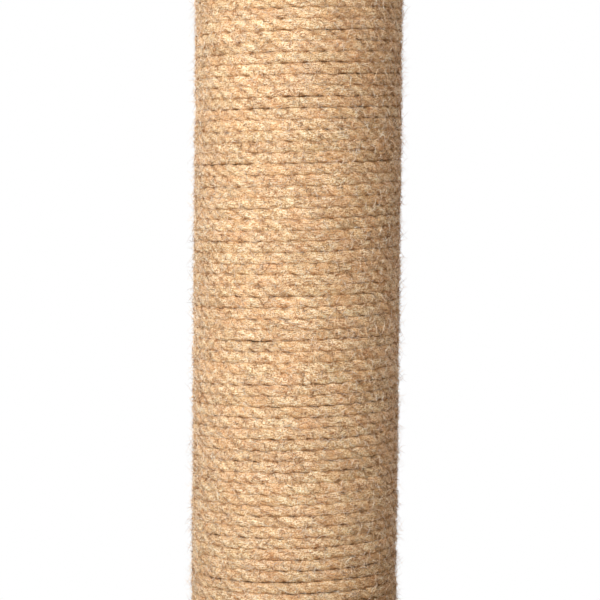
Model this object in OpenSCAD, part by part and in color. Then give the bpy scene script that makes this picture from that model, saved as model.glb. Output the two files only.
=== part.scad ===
// A two-level cat tree that hangs on a wall: a rope-wound scratching post bolted between
// a step board and a perch board, each carried by two steel brackets.
// The wall is the plane y = 0 and the tree stands out from it towards -Y. The origin is
// the middle of the perch brackets' four wall holes.

/* [Post] */
// Outside diameter of the paper core tube
tube_d = 102; // [70:1:120]
// Wall of the core tube
tube_wall = 5; // [3:0.5:8]
// Length of the core tube, from board to board
post_len = 500; // [360:10:800]
// Distance from the wall to the post's axis
post_off = 155; // [110:1:170]
// Thickness of the wooden plug in each end of the tube
plug_t = 24; // [22:1:40]
// Number of tacks that hold each plug
plug_tacks = 4; // [3:1:6]
// Diameter of a tack
tack_d = 1.4; // [1:0.1:2]
// Length of a tack
tack_len = 20; // [12:1:24]

/* [Rope] */
// Thickness of the jute rope, which is also the step from turn to turn
rope_d = 6; // [5:0.5:10]
// Least bare tube above and below the winding
rope_end = 0.8; // [0.8:0.1:2]
// Clear space between the turns of the open winding
turn_gap = 0.5; // [0.45:0.05:0.8]
// Wire thickness of the staples that hold the rope's ends
staple_wire = 1; // [0.8:0.1:1.4]
// Tube wall that is left behind the staples' points
staple_spare = 1; // [0.5:0.5:2]
// Number of staples on each end of the rope
rope_staples = 3; // [2:1:4]
// Angle from one staple to the next, round the post
staple_turn = 14; // [8:1:24]

/* [Boards] */
// Thickness of the plywood boards
board_t = 18; // [15:1:25]
// Width of the perch board, along the wall
perch_w = 480; // [460:10:600]
// Depth of the perch board, out from the wall
perch_d = 320; // [310:10:400]
// Width of the step board, along the wall
step_w = 420; // [380:10:560]
// Depth of the step board, out from the wall
step_d = 300; // [270:10:380]
// Radius of the boards' front corners
front_r = 60; // [40:5:90]
// Radius of the boards' corners at the wall
back_r = 12; // [4:1:18]

/* [Brackets] */
// Distance between the middles of the two brackets of a board
bracket_span = 260; // [220:5:300]
// Width of a bracket
bracket_w = 30; // [26:1:40]
// Length of the bracket's leg under the board
board_leg = 200; // [170:5:240]
// Length of the bracket's leg down the wall
wall_leg = 100; // [98:1:130]
// Steel thickness of the legs
leg_t = 3; // [2:0.5:4]
// Steel thickness of the side cheeks
cheek_t = 2; // [1.5:0.5:3]
// Height of the cheeks at the ends of the legs
cheek_lip = 10; // [8:1:14]
// How far the cheek's curved edge bows in towards the corner
cheek_bow = 28; // [15:1:32]
// Outside radius of the bend between the legs
bend_r = 6; // [5:0.5:8]
// Diameter of the wall screw holes
wall_hole_d = 5.5; // [4.5:0.5:7]
// Distance from the board to the upper wall hole
wall_hole_drop = 25; // [20:1:30]
// Distance between a bracket's two wall holes
wall_hole_gap = 60; // [50:1:64]

/* [Board screws] */
// Number of wood screws in each bracket
board_screws = 3; // [2:1:4]
// Distance from the wall to the first wood screw
board_screw_first = 40; // [30:1:50]
// Distance from the last wood screw to the end of the leg
board_screw_end = 30; // [20:1:50]
// Shank diameter of the wood screws
board_screw_d = 4; // [3:0.5:5]
// How deep the wood screws go into the board
board_screw_bite = 12; // [8:1:13]
// Head diameter of the wood screws
board_screw_head_d = 8; // [7:0.5:9]
// Head height of the wood screws
board_screw_head_h = 2.6; // [2.2:0.1:3]
// Length of each slot of the cross recess in their heads
cross_len = 4.4; // [3.5:0.1:5]
// Width of each slot of the cross recess
cross_w = 1.2; // [0.8:0.1:1.6]
// Depth of the cross recess
cross_depth = 1.4; // [1:0.1:1.6]

/* [Post bolts] */
// Thread diameter of the bolt at each end of the post
bolt_d = 8; // [6:1:10]
// Length of the bolt under its head
bolt_len = 28; // [24:1:30]
// Head diameter of the bolt
bolt_head_d = 14; // [13:0.5:18]
// Head height of the bolt
bolt_head_h = 4.4; // [3.5:0.1:4.8]
// Width across the flats of the bolt's hexagon socket
socket_af = 5; // [4:0.5:6]
// Depth of the hexagon socket
socket_depth = 2.6; // [1.5:0.1:3]
// Diameter of the washer under the bolt head
washer_d = 24; // [20:1:25]
// Thickness of the washer
washer_t = 1.6; // [1.2:0.1:2]
// Diameter of the recess in the board that takes the washer and bolt head
recess_d = 26; // [25:1:32]
// Depth of that recess
recess_depth = 7; // [6.5:0.5:8]
// Body diameter of the threaded insert in each plug
insert_d = 12; // [11.5:0.5:14]
// Length of the threaded insert
insert_len = 20; // [16:1:21]
// Flange diameter of the threaded insert
insert_flange_d = 17; // [15:1:22]
// Flange thickness of the threaded insert
insert_flange_t = 1.5; // [1:0.1:2]

/* [Cushion and mat] */
// Width of the perch cushion
cushion_w = 436; // [340:2:444]
// Depth of the perch cushion
cushion_d = 282; // [220:2:290]
// Corner radius of the perch cushion
cushion_r = 46; // [30:1:60]
// Thickness of the perch cushion at its sides
cushion_edge = 22; // [14:1:30]
// How far the cushion's middle stands above its sides
cushion_crown = 12; // [6:1:20]
// How far the cushion's sides pull in between the corners
cushion_pull = 6; // [0:1:8]
// How far the cushion's rounded lower edge turns in
cushion_turn = 9; // [5:1:12]
// Thickness of the felt mat on the step board
mat_t = 5; // [3:0.5:8]
// Bare margin round the felt mat
mat_margin = 14; // [8:1:24]
// Radius of the mat's corners at the wall
mat_back_r = 8; // [4:1:12]
// Clear space between the rope and the mat's notch
notch_gap = 3; // [2:0.5:6]
// Thickness of one half of the hook and loop tape
tape_t = 1; // [0.8:0.1:1.5]
// Width of the hook and loop tape
tape_w = 20; // [16:1:30]
// Length of each piece of hook and loop tape
tape_len = 60; // [40:1:70]
// Distance from the cushion's or mat's sides to the tape
tape_in = 30; // [24:1:36]

/* [Clearances] */
// Play between pieces that are pushed or glued together
fit_gap = 0.1; // [0.05:0.05:0.3]
// Play between a bolt or screw and its thread, all round
thread_gap = 0.05; // [0.02:0.01:0.1]
// Play between a bolt or screw and the hole that it passes, all round
hole_gap = 0.5; // [0.2:0.1:0.8]
// Space between the two halves of the hook and loop tape
soft_gap = 0.3; // [0.2:0.1:0.5]

/* [Hidden] */
$fn = 64;
over = 1;

// Colours
birch = [0.86, 0.74, 0.56];
paper = [0.72, 0.60, 0.45];
jute = [0.80, 0.63, 0.44];
pine = [0.88, 0.76, 0.58];
zinc = [0.78, 0.79, 0.80];
brass = [0.78, 0.66, 0.36];
enamel = [0.23, 0.24, 0.25];
white_tape = [0.92, 0.90, 0.86];
fleece = [0.88, 0.84, 0.77];
felt = [0.62, 0.59, 0.55];

// Heights, from the middle of the perch brackets' wall holes at z = 0
perch_under = wall_hole_drop + wall_hole_gap / 2;
perch_top = perch_under + board_t;
step_top = perch_under - post_len;
step_under = step_top - board_t;

// Radii of the post, and the count of the rope's turns
tube_r = tube_d / 2;
plug_r = tube_r - tube_wall - fit_gap;
rope_in = tube_r + fit_gap;
rope_out = rope_in + rope_d;
turns = floor((post_len - 2 * rope_end) / rope_d);
open_turns = 24;
low_turns = floor((turns - open_turns - 1) / 2);
high_turns = turns - open_turns - 1 - low_turns;
rope_start = (post_len - turns * rope_d) / 2;
wall_side = 90;

// The post's foot: its children stand on the step board
module at_foot() {
  translate([0, -post_off, step_top]) children();
}

// An end face of the post: its children's +Z points out of the post, through the board
module at_end(top) {
  if (top) translate([0, -post_off, perch_under]) children();
  else at_foot() mirror([0, 0, 1]) children();
}

module at_both_ends() {
  at_end(true) children();
  at_end(false) children();
}

// Boards

// A rectangle with its back on the wall, its back corners rounded by rb and its front ones by rf
module wall_plate(w, d, rf, rb) {
  translate([-w / 2 + rf, -d]) square([w - 2 * rf, d - rb]);
  translate([-w / 2, -d + rf]) square([w, d - rf - rb]);
  translate([-w / 2 + rb, -d + rf]) square([w - 2 * rb, d - rf]);
  for (side = [-1, 1]) {
    translate([side * (w / 2 - rf), -d + rf]) circle(rf);
    translate([side * (w / 2 - rb), -rb]) circle(rb);
  }
}

// Copies its child to each wood screw of one bracket
module screw_row() {
  run = board_leg - board_screw_first - board_screw_end;
  for (i = [0 : board_screws - 1])
    translate([0, -board_screw_first - i * run / (board_screws - 1), 0]) children();
}

// Copies its child to each wood screw of a board
module screw_places() {
  for (side = [-1, 1]) translate([side * bracket_span / 2, 0, 0]) screw_row() children();
}

// A board that lies on z = 0, recessed for the bolt head on top or underneath
module board(w, d, recess_on_top) {
  difference() {
    linear_extrude(board_t) wall_plate(w, d, front_r, back_r);
    translate([0, -post_off, -over]) cylinder(r = bolt_d / 2 + hole_gap, h = board_t + 2 * over);
    translate([0, -post_off, recess_on_top ? board_t - recess_depth : -over])
      cylinder(d = recess_d, h = recess_depth + over);
    screw_places()
      translate([0, 0, -over])
        cylinder(r = board_screw_d / 2 + thread_gap, h = over + board_screw_bite + thread_gap);
  }
}

module perch_board() {
  color(birch) translate([0, 0, perch_under]) board(perch_w, perch_d, true);
}

module step_board() {
  color(birch) translate([0, 0, step_under]) board(step_w, step_d, false);
}

// Post

// Tacks through the tube into the plug, with their heads flush under the rope
module tacks(gap) {
  proud = gap > 0 ? over : 0;
  for (i = [0 : plug_tacks - 1])
    rotate([0, 0, (i + 0.5) * 360 / plug_tacks])
      translate([tube_r - tack_len - gap, 0, -plug_t / 2])
        rotate([0, 90, 0]) cylinder(r = tack_d / 2 + gap, h = tack_len + gap + proud);
}

// Staples over the rope's last turn, on the wall side, with the crown across the turn
module staples(gap) {
  wire = staple_wire + 2 * gap;
  reach = rope_d + fit_gap + tube_wall - staple_spare + gap;
  for (i = [0 : rope_staples - 1])
    translate([0, 0, -rope_start - rope_d / 2])
      rotate([0, 0, wall_side + (i - (rope_staples - 1) / 2) * staple_turn]) {
        translate([rope_out, -wire / 2, -(rope_d + wire) / 2]) cube([wire, wire, rope_d + wire]);
        for (side = [-1, 1])
          translate([rope_out - reach, -wire / 2, (side * rope_d - wire) / 2])
            cube([reach + wire / 2, wire, wire]);
      }
}

module core_tube() {
  color(paper) difference() {
    at_foot() difference() {
      cylinder(r = tube_r, h = post_len);
      translate([0, 0, -over]) cylinder(r = tube_r - tube_wall, h = post_len + 2 * over);
    }
    at_both_ends() {
      tacks(fit_gap);
      staples(fit_gap);
    }
  }
}

// A wooden disc in the end of the tube, bored for the threaded insert
module plug() {
  difference() {
    translate([0, 0, -plug_t]) cylinder(r = plug_r, h = plug_t);
    translate([0, 0, -insert_len - over]) cylinder(d = insert_d, h = insert_len + 2 * over);
    translate([0, 0, -insert_flange_t]) cylinder(d = insert_flange_d, h = insert_flange_t + over);
    tacks(fit_gap);
  }
}

module top_plug() {
  color(pine) at_end(true) plug();
}

module bottom_plug() {
  color(pine) at_end(false) plug();
}

module top_plug_tacks() {
  color(zinc) at_end(true) tacks(0);
}

module bottom_plug_tacks() {
  color(zinc) at_end(false) tacks(0);
}

module top_rope_staples() {
  color(zinc) at_end(true) staples(0);
}

module bottom_rope_staples() {
  color(zinc) at_end(false) staples(0);
}

// Bolted joint at each end of the post

module insert() {
  difference() {
    union() {
      translate([0, 0, -insert_len]) cylinder(d = insert_d, h = insert_len);
      translate([0, 0, -insert_flange_t]) cylinder(d = insert_flange_d, h = insert_flange_t);
    }
    translate([0, 0, -insert_len - over])
      cylinder(r = bolt_d / 2 + thread_gap, h = insert_len + 2 * over);
  }
}

module top_insert() {
  color(brass) at_end(true) insert();
}

module bottom_insert() {
  color(brass) at_end(false) insert();
}

// The washer lies on the floor of the board's recess, and the bolt head on the washer
recess_floor = board_t - recess_depth;

module washer() {
  translate([0, 0, recess_floor]) difference() {
    cylinder(d = washer_d, h = washer_t);
    translate([0, 0, -over]) cylinder(r = bolt_d / 2 + hole_gap, h = washer_t + 2 * over);
  }
}

module top_washer() {
  color(zinc) at_end(true) washer();
}

module bottom_washer() {
  color(zinc) at_end(false) washer();
}

// A screw head on z = 0, with a domed top
module domed_head(d, h) {
  dome_r = 0.8 * d;
  rotate_extrude() intersection() {
    square([d / 2, h]);
    translate([0, h - dome_r]) circle(dome_r);
  }
}

module bolt() {
  translate([0, 0, recess_floor + washer_t]) difference() {
    union() {
      translate([0, 0, -bolt_len]) cylinder(d = bolt_d, h = bolt_len);
      domed_head(bolt_head_d, bolt_head_h);
    }
    translate([0, 0, bolt_head_h - socket_depth])
      cylinder(d = socket_af / cos(30), h = socket_depth + over, $fn = 6);
  }
}

module top_bolt() {
  color(zinc) at_end(true) bolt();
}

module bottom_bolt() {
  color(zinc) at_end(false) bolt();
}

// Rope winding: an open stretch of one unbroken tube, between stretches of packed turns

// A turn of the open stretch is a polygon, whose flats stay clear of the core tube
turn_steps = 24;
open_in = rope_in / cos(180 / turn_steps);
open_mid = (rope_out + open_in) / 2;
half_thick = (rope_out - open_in) / 2;
half_tall = (rope_d - turn_gap) / 2;
open_base = rope_start + (low_turns + 0.5) * rope_d;

// Six corners of the rope's section, as [outwards, upwards] shares of its half sizes
hexagon = [[1, 0], [0.5, 1], [-0.5, 1], [-1, 0], [-0.5, -1], [0.5, -1]];

// The winding u turns from its start: the way outwards, the way along and the centre
function wind_out(u) = [cos(wall_side + 360 * u), sin(wall_side + 360 * u), 0];
function wind_along(u) = [-sin(wall_side + 360 * u), cos(wall_side + 360 * u), 0];
function wind_centre(u) = open_mid * wind_out(u) + [0, 0, open_base + rope_d * u];
function wind_ring(centre, u) = [
  for (corner = hexagon)
    centre + wind_out(u) * corner[0] * half_thick + [0, 0, corner[1] * half_tall]
];

// The winding's rings, with a straight tail of one rope's thickness at each end
wind_rings = concat(
  [wind_ring(wind_centre(0) - rope_d * wind_along(0), 0)],
  [for (i = [0 : open_turns * turn_steps]) wind_ring(wind_centre(i / turn_steps), i / turn_steps)],
  [wind_ring(wind_centre(open_turns) + rope_d * wind_along(open_turns), open_turns)]
);

// Least distance between the corners of one turn and those of the next
function ring_gap(a, b) = min([for (p = a, q = b) norm(p - q)]);
least_gap = min([
  for (i = [0 : len(wind_rings) - turn_steps], k = [-1 : 1])
    if (i + turn_steps + k < len(wind_rings)) ring_gap(wind_rings[i], wind_rings[i + turn_steps + k])
]);
echo(least_gap_between_turns = least_gap, open_turns = open_turns, rings = len(wind_rings));

// One unbroken closed tube through a list of rings
module tube_through(rings) {
  sides = len(rings[0]);
  last = len(rings) - 1;
  polyhedron(
    points = [for (ring = rings, p = ring) p],
    faces = concat(
      [for (k = [1 : sides - 2]) [0, k, k + 1]],
      [for (k = [1 : sides - 2]) [last * sides, last * sides + k + 1, last * sides + k]],
      [for (i = [0 : last - 1], k = [0 : sides - 1], half = [0, 1])
        let (a = i * sides + k, b = i * sides + (k + 1) % sides, c = a + sides, d = b + sides)
        half == 0 ? [a, d, b] : [a, c, d]]
    )
  );
}

// Packed turns, as a sleeve whose profile is one ridge for each turn
module packed_turns(first, count) {
  low = rope_start + first * rope_d;
  groove = open_mid + half_thick / 2;
  rotate_extrude() polygon(concat(
    [[rope_in, low]],
    [for (i = [0 : count - 1], half = [0, 1])
      [half == 0 ? groove : rope_out, low + (i + half / 2) * rope_d]],
    [[groove, low + count * rope_d], [rope_in, low + count * rope_d]]
  ));
}

module lower_rope_turns() {
  color(jute) difference() {
    at_foot() packed_turns(0, low_turns);
    at_end(false) staples(fit_gap);
  }
}

module middle_rope_turns() {
  color(jute) at_foot() tube_through(wind_rings);
}

module upper_rope_turns() {
  color(jute) difference() {
    at_foot() packed_turns(turns - high_turns, high_turns);
    at_end(true) staples(fit_gap);
  }
}

// Brackets

// A rectangle that fills the corner at (0, 0), where it is rounded
module corner_plate(w, h, r) {
  translate([-w, -h]) square([w - r, h]);
  translate([-w, -h]) square([w, h - r]);
  translate([-r, -r]) circle(r);
}

// The cheek's curved edge is an arc from the end of one leg to the end of the other
edge_run = [board_leg - cheek_lip, wall_leg - cheek_lip];
edge_chord = norm(edge_run);
edge_r = (edge_chord * edge_chord / 4 + cheek_bow * cheek_bow) / (2 * cheek_bow);
edge_mid = -[board_leg + cheek_lip, wall_leg + cheek_lip] / 2;
edge_centre = edge_mid - [edge_run[1], edge_run[0]] / edge_chord * (edge_r - cheek_bow);

module cheek_outline() {
  difference() {
    corner_plate(board_leg, wall_leg, bend_r);
    translate(edge_centre) circle(edge_r);
    polygon([[-board_leg, -cheek_lip], [-cheek_lip, -wall_leg], [-board_leg - over, -wall_leg - over]]);
  }
}

module legs_outline() {
  difference() {
    corner_plate(board_leg, wall_leg, bend_r);
    translate([-leg_t, -leg_t]) corner_plate(board_leg, wall_leg, bend_r - leg_t);
  }
}

// Stands a drawing in (distance from the wall, height) up, and gives it a width along the wall
module across(x, width) {
  translate([x, 0, 0]) rotate([90, 0, 90]) linear_extrude(width) children();
}

// A bracket with its corner at the origin: one leg runs under the board, one down the wall
module bracket() {
  difference() {
    union() {
      across(-bracket_w / 2, bracket_w) legs_outline();
      for (x = [-bracket_w / 2, bracket_w / 2 - cheek_t]) across(x, cheek_t) cheek_outline();
    }
    screw_row()
      translate([0, 0, -leg_t - over])
        cylinder(r = board_screw_d / 2 + hole_gap, h = leg_t + 2 * over);
    for (drop = [wall_hole_drop, wall_hole_drop + wall_hole_gap])
      translate([0, over, -drop]) rotate([90, 0, 0]) cylinder(d = wall_hole_d, h = leg_t + 2 * over);
  }
}

module bracket_at(side, height) {
  color(enamel) translate([side * bracket_span / 2, 0, height]) bracket();
}

module left_perch_bracket() {
  bracket_at(-1, perch_under);
}

module right_perch_bracket() {
  bracket_at(1, perch_under);
}

module left_step_bracket() {
  bracket_at(-1, step_under);
}

module right_step_bracket() {
  bracket_at(1, step_under);
}

// A wood screw from below, with its head against the bracket's leg
module board_screw() {
  translate([0, 0, -leg_t]) {
    cylinder(d = board_screw_d, h = leg_t + board_screw_bite);
    mirror([0, 0, 1]) difference() {
      domed_head(board_screw_head_d, board_screw_head_h);
      for (turn = [0, 90])
        rotate([0, 0, turn])
          translate([-cross_len / 2, -cross_w / 2, board_screw_head_h - cross_depth])
            cube([cross_len, cross_w, cross_depth + over]);
    }
  }
}

module perch_bracket_screws() {
  color(zinc) translate([0, 0, perch_under]) screw_places() board_screw();
}

module step_bracket_screws() {
  color(zinc) translate([0, 0, step_under]) screw_places() board_screw();
}

// Cushion

corner_steps = 6;
side_steps = 8;
function corner_middle(q) = [
  (q % 4 == 0 || q % 4 == 3 ? 1 : -1) * (cushion_w / 2 - cushion_r),
  (q % 4 < 2 ? 1 : -1) * (cushion_d / 2 - cushion_r)
];
function heading(angle) = [cos(angle), sin(angle)];

// The cushion's outline: round corners, with the sides between them drawn in
cushion_rim = [
  for (q = [0 : 3], i = [0 : corner_steps + side_steps - 1])
    let (s = (i - corner_steps) / side_steps)
    s <= 0
      ? corner_middle(q) + cushion_r * heading(90 * (q + i / corner_steps))
      : corner_middle(q) * (1 - s) + corner_middle(q + 1) * s
        + (cushion_r - cushion_pull * sin(180 * s)) * heading(90 * (q + 1))
];

// A ring of the cushion's skin: the outline, drawn in by an inset at its narrow sides
function cushion_ring(inset, height) = [
  for (p = cushion_rim) [p[0] * (1 - 2 * inset / cushion_w), p[1] * (1 - 2 * inset / cushion_d), height]
];

// Its lower edge turns in on a quarter round, and its top rises in a crown from the widest line
crown_rise = cushion_edge / 2 + cushion_crown;
cushion_rings = concat(
  [for (a = [90 : -30 : 0]) cushion_ring(cushion_turn * (1 - cos(a)), cushion_edge / 2 * (1 - sin(a)))],
  [for (share = [0.015, 0.05, 0.12, 0.25, 0.45, 0.7])
    cushion_ring(share * cushion_d / 2, cushion_edge / 2 + crown_rise * sqrt(1 - pow(1 - share, 5)))]
);

module cushion_skin() {
  sides = len(cushion_rim);
  last = len(cushion_rings) - 1;
  low = len(cushion_rings) * sides;
  polyhedron(
    points = concat(
      [for (ring = cushion_rings, p = ring) p],
      [[0, 0, 0], [0, 0, cushion_edge / 2 + crown_rise]]
    ),
    faces = concat(
      [for (k = [0 : sides - 1]) [low, k, (k + 1) % sides]],
      [for (k = [0 : sides - 1]) [low + 1, last * sides + (k + 1) % sides, last * sides + k]],
      [for (i = [0 : last - 1], k = [0 : sides - 1], half = [0, 1])
        let (a = i * sides + k, b = i * sides + (k + 1) % sides, c = a + sides, d = b + sides)
        half == 0 ? [a, d, b] : [a, c, d]]
    )
  );
}

tape_stack = 2 * tape_t + soft_gap;

module perch_cushion() {
  color(fleece) translate([0, -perch_d / 2, perch_top + tape_stack]) cushion_skin();
}

// Mat

notch_r = rope_out + notch_gap;

module step_mat() {
  color(felt) translate([0, 0, step_top + tape_stack]) linear_extrude(mat_t) difference() {
    translate([0, -mat_margin])
      wall_plate(step_w - 2 * mat_margin, step_d - 2 * mat_margin, front_r - mat_margin, mat_back_r);
    translate([0, -post_off]) circle(notch_r);
    translate([-notch_r, -post_off]) square([2 * notch_r, post_off]);
  }
}

// Hook and loop tape: four strips under a soft piece of width w and depth d

module tape_strips(w, d) {
  for (x = [-1, 1], y = [-1, 1])
    translate([x * (w / 2 - tape_in - tape_len / 2), y * (d / 2 - tape_in), 0])
      translate([-tape_len / 2, -tape_w / 2, 0]) cube([tape_len, tape_w, tape_t]);
}

module perch_tape(height) {
  color(white_tape) translate([0, -perch_d / 2, perch_top + height]) tape_strips(cushion_w, cushion_d);
}

module step_tape(height) {
  color(white_tape) translate([0, -step_d / 2, step_top + height])
    tape_strips(step_w - 2 * mat_margin, step_d - 2 * mat_margin);
}

module perch_hook_tape() {
  perch_tape(0);
}

module cushion_loop_tape() {
  perch_tape(tape_stack - tape_t);
}

module step_hook_tape() {
  step_tape(0);
}

module mat_loop_tape() {
  step_tape(tape_stack - tape_t);
}

perch_board();
step_board();
core_tube();
lower_rope_turns();
middle_rope_turns();
upper_rope_turns();
top_plug();
bottom_plug();
top_plug_tacks();
bottom_plug_tacks();
top_insert();
bottom_insert();
top_bolt();
bottom_bolt();
top_washer();
bottom_washer();
top_rope_staples();
bottom_rope_staples();
left_perch_bracket();
right_perch_bracket();
left_step_bracket();
right_step_bracket();
perch_bracket_screws();
step_bracket_screws();
perch_cushion();
perch_hook_tape();
cushion_loop_tape();
step_mat();
step_hook_tape();
mat_loop_tape();
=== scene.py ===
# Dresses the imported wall-mounted cat tree: rope winding, plywood, brackets, cushion and mat.
import math

import bpy
import numpy as np
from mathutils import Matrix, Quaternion, Vector
from mathutils.bvhtree import BVHTree


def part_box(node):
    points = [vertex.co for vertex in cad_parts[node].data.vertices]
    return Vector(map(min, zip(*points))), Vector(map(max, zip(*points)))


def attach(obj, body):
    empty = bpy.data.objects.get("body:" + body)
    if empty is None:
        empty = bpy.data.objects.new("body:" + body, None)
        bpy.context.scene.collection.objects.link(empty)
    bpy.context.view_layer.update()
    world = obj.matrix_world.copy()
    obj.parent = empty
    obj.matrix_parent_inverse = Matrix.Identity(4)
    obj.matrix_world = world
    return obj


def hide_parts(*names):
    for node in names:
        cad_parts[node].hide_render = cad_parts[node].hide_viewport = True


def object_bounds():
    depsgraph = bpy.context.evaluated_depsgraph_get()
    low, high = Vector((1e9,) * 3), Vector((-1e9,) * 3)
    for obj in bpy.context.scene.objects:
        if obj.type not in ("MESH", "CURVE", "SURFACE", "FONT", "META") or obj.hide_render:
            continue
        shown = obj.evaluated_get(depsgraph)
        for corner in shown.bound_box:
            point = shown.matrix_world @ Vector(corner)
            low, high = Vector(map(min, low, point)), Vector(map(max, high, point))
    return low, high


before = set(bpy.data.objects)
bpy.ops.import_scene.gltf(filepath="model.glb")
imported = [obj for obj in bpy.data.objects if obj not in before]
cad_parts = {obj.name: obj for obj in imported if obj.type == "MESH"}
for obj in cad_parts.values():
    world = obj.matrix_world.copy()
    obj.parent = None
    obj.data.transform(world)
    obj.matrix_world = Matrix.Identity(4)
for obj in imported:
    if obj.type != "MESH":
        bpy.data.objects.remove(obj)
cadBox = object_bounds()
print("frame: the packed tree is loaded")


def addObject(name, data):
    # a new object in the scene, at the origin, unturned and unscaled
    made = bpy.data.objects.new(name, data)
    bpy.context.scene.collection.objects.link(made)
    return made


cameraView = {
    "lens": 160.2,                      # long lens, as for a catalogue close-up
    "sensorWidth": 36,
    "place": (0.0020, -1.652, -0.1347),
    "aim": (0.0020, -0.155, -0.2305),
    "roll": 0.53,                       # degrees, the post leans this much in the picture
}


def setCamera():
    v = cameraView
    data = bpy.data.cameras.new("close_up")
    data.lens = v["lens"]
    data.sensor_width = v["sensorWidth"]
    camera = addObject("close_up", data)
    camera.location = v["place"]
    lookAlong = Vector(v["aim"]) - Vector(v["place"])
    tilt = Quaternion((0, 0, 1), math.radians(v["roll"]))
    camera.rotation_mode = "QUATERNION"
    camera.rotation_quaternion = lookAlong.to_track_quat("-Z", "Y") @ tilt
    bpy.context.scene.camera = camera
    bpy.context.scene.view_settings.view_transform = "Standard"
    print("camera: set at the photograph's angle")


setCamera()


# ---- shader maths

class Wire:
    # a socket of a finish that adds, multiplies and compares by making Math nodes
    def __init__(self, finish, socket):
        self.finish, self.socket = finish, socket

    def reckon(self, operation, *values):
        return self.finish.node("Math", {"operation": operation}, dict(enumerate(values)))

    def __add__(self, other):
        return self.reckon("ADD", self, other)

    def __radd__(self, other):
        return self.reckon("ADD", other, self)

    def __sub__(self, other):
        return self.reckon("SUBTRACT", self, other)

    def __rsub__(self, other):
        return self.reckon("SUBTRACT", other, self)

    def __mul__(self, other):
        return self.reckon("MULTIPLY", self, other)

    def __rmul__(self, other):
        return self.reckon("MULTIPLY", other, self)

    def __truediv__(self, other):
        return self.reckon("DIVIDE", self, other)

    def __pow__(self, other):
        return self.reckon("POWER", self, other)

    def __abs__(self):
        return self.reckon("ABSOLUTE", self)

    def __gt__(self, other):
        return self.reckon("GREATER_THAN", self, other)


class Finish:
    # a node tree under construction: a material's, or the world's
    def __init__(self, tree):
        self.tree = tree

    def node(self, kind, settings=None, sockets=None, out=0):
        made = self.tree.nodes.new("ShaderNode" + kind)
        for name, value in (settings or {}).items():
            if name == "stops":
                marks = made.color_ramp.elements
                while len(marks) < len(value):
                    marks.new(0.5)
                for mark, (at, colour) in zip(marks, value):
                    mark.position, mark.color = at, colour
            else:
                setattr(made, name, value)
        for name, value in (sockets or {}).items():
            if isinstance(value, Wire):
                self.tree.links.new(value.socket, made.inputs[name])
            else:
                made.inputs[name].default_value = value
        return Wire(self, made.outputs[out])


def sRgb(red, green, blue):
    # a colour as a paint chart gives it, 0 to 255, turned into the shader's own scale
    tints = [v / 255 for v in (red, green, blue)]
    return (*[v / 12.92 if v <= 0.04045 else ((v + 0.055) / 1.055) ** 2.4 for v in tints], 1)


def newMaterial(name, steady):
    # a material and its shader, with the sockets that stay the same all over
    material = bpy.data.materials.new(name)
    material.use_nodes = True
    shader = material.node_tree.nodes["Principled BSDF"]
    for socket, value in steady.items():
        shader.inputs[socket].default_value = value
    return material, Finish(material.node_tree)


def feed(finish, **wires):
    # joins wires to the shader: baseColor=..., roughness=..., normal=...
    shader = finish.tree.nodes["Principled BSDF"]
    names = {"baseColor": "Base Color", "roughness": "Roughness", "normal": "Normal"}
    for key, wire in wires.items():
        finish.tree.links.new(wire.socket, shader.inputs[names[key]])


def place(finish):
    # where a point lies on its piece, which stays with the piece as it moves
    return finish.node("TexCoord", out="Object")


def part(finish, vector, axis):
    # one of a vector's three numbers
    return finish.node("SeparateXYZ", {}, {"Vector": vector}, axis)


def carried(finish, name, out="Fac"):
    # a value that the mesh carries at each of its points
    return finish.node("Attribute", {"attribute_name": name}, out=out)


def blend(finish, share, first, second, mode="MIX"):
    # 6 and 7 are the Mix node's colour inputs, and 2 is its colour output
    settings = {"data_type": "RGBA", "blend_type": mode}
    return finish.node("Mix", settings, {0: share, 6: first, 7: second}, 2)


def ramp(finish, share, stops):
    # a colour picked by the share from a row of stops, each a place and a colour
    stops = [(at, sRgb(*tint)) for at, tint in stops]
    return finish.node("ValToRGB", {"stops": stops}, {"Fac": share})


def noise(finish, where, stretch, detail, rough=0.5, shift=(0, 0, 0)):
    # cloudy noise whose lumps are about 1 / stretch metres in each direction
    mapped = finish.node("Mapping", {}, {"Vector": where, "Location": shift, "Scale": stretch})
    sockets = {"Vector": mapped, "Scale": 1.0, "Detail": detail, "Roughness": rough}
    return finish.node("TexNoise", {}, sockets)


def bump(finish, height, depth):
    return finish.node("Bump", {}, {"Height": height, "Distance": depth, "Strength": 1.0})


def dress(piece, material):
    piece.data.materials.clear()
    piece.data.materials.append(material)


# ---- light, floor and white surroundings

studio = {
    "lamps": {
        "key": {"place": (-0.68, -1.56, 0.55), "width": 0.5, "power": 38, "tint": (0.93, 1.0, 1.13)},
        "side": {"place": (1.4, 0.8, 0.3), "width": 1.0, "power": 6, "tint": (1.0, 0.76, 0.50)},
        "top": {"place": (0.1, -0.1, 1.9), "width": 1.2, "power": 12, "tint": (1.0, 0.98, 0.95)},
        "rear": {"place": (0.0, 1.5, 0.7), "width": 1.0, "power": 26, "tint": (1.0, 0.98, 0.96)},
    },
    "surround": 0.11,                   # how much the white room lights the tree, of 1
    "roomTint": (1.0, 0.80, 0.54),      # the colour of that light
    "floorDrop": 0.05,                  # from the lowest bracket down to the floor
    "floorSize": 2.0,
    "floorPaint": ((242, 244, 247), (247, 248, 250)),
    "floorClouds": 3,                   # to a metre
}


def addLamp(name, target):
    k = studio["lamps"][name]
    bpy.ops.object.light_add(type="AREA", location=k["place"])
    lamp = bpy.context.object
    lamp.name = name + "_lamp"
    lamp.data.size = k["width"]
    lamp.data.energy = k["power"]
    lamp.data.color = k["tint"]
    lamp.visible_camera = False
    lamp.rotation_mode = "QUATERNION"
    lamp.rotation_quaternion = (Vector(target) - Vector(k["place"])).to_track_quat("-Z", "Y")


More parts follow.
